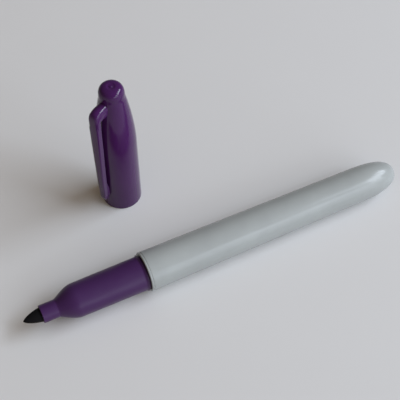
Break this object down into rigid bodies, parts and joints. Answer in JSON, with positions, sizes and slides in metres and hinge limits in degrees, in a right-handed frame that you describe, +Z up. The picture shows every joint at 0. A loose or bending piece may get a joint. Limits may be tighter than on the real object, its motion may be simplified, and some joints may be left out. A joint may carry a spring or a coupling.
{
  "type": "marker pen",
  "caption": "Fibre-tip marker pen lying flat: tapered barrel with a rounded tail, coloured nib holder and bullet nib, its clip cap pulled off and standing upright beside it.",
  "frame": {"origin": "middle of the footprint of the lying marker and the standing cap, on the table they rest on", "axes": "+X along the marker from its nib to its tail, +Y across it towards the standing cap, +Z up along the cap's axis"},
  "size_m": [0.1244, 0.0458, 0.0513],
  "materials": {
    "barrel_plastic": "pale grey moulded polypropylene, satin gloss",
    "holder_plastic": "purple moulded polypropylene, satin gloss",
    "nib_fibre": "bonded fibre soaked with dark purple ink",
    "core_fibre": "bundled fibre soaked with ink",
    "film_plastic": "thin clear wrapping film",
    "cap_plastic": "purple moulded polypropylene, glossier than the holder",
    "inner_plastic": "natural polyethylene"
  },
  "bodies": {
    "marker": {"barrel": "barrel_plastic", "nib_holder": "holder_plastic", "fibre_nib": "nib_fibre", "ink_core": "core_fibre", "core_film": "film_plastic"},
    "cap": {"cap_shell": "cap_plastic", "inner_cap": "inner_plastic"}
  },
  "joints": [
    {"name": "cap_lift", "type": "slide", "parent": "marker", "child": "cap", "axis": [0, 0, 1], "range_m": [0, 0.038]}
  ]
}
